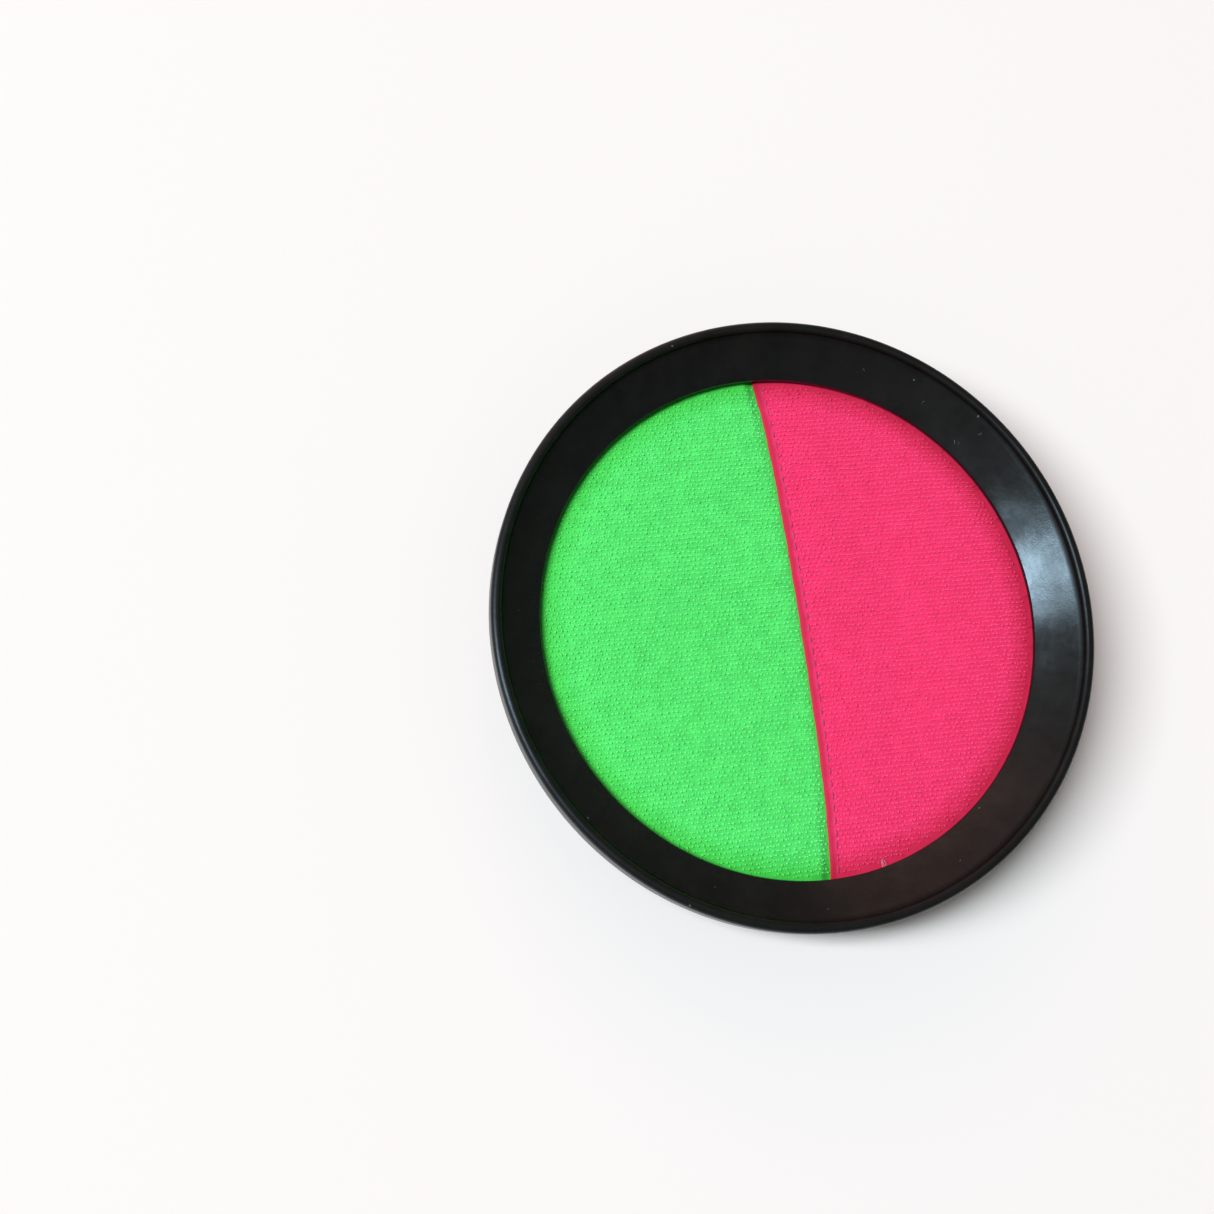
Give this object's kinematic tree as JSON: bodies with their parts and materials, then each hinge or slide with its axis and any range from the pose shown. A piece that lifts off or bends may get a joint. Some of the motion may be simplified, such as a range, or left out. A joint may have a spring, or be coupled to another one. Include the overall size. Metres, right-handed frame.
{
  "type": "catch paddle",
  "caption": "Round toss-and-catch paddle: a flared ring round a padded face of green and pink hook cloth, with an adjustable hand strap behind it.",
  "frame": {"origin": "on the ring's axis, at the plane of the foot it rests on, below the middle of the face", "axes": "+Z out of the catching face, +Y along the seam between the two colours, +X towards the pink half and along the hand strap"},
  "size_m": [0.1848, 0.1848, 0.027],
  "materials": {
    "black_plastic": "satin, slightly blotchy moulded surface",
    "green_hook_cloth": "bright green hook cloth in fine rows",
    "pink_hook_cloth": "bright pink hook cloth in fine rows",
    "foam": "soft closed-cell foam",
    "black_cloth": "plain woven nylon",
    "black_webbing": "ribbed woven webbing",
    "closure_tape": "fuzzy loop and stiff hook tape"
  },
  "bodies": {
    "root": {"front_rim": "black_plastic", "clamp_ring": "black_plastic", "green_face": "green_hook_cloth", "pink_face": "pink_hook_cloth", "foam_pad": "foam", "backing_cloth": "black_cloth", "strap_short": "black_webbing", "strap_long": "black_webbing", "strap_loop_patch": "closure_tape", "strap_hook_patch": "closure_tape"}
  },
  "joints": []
}
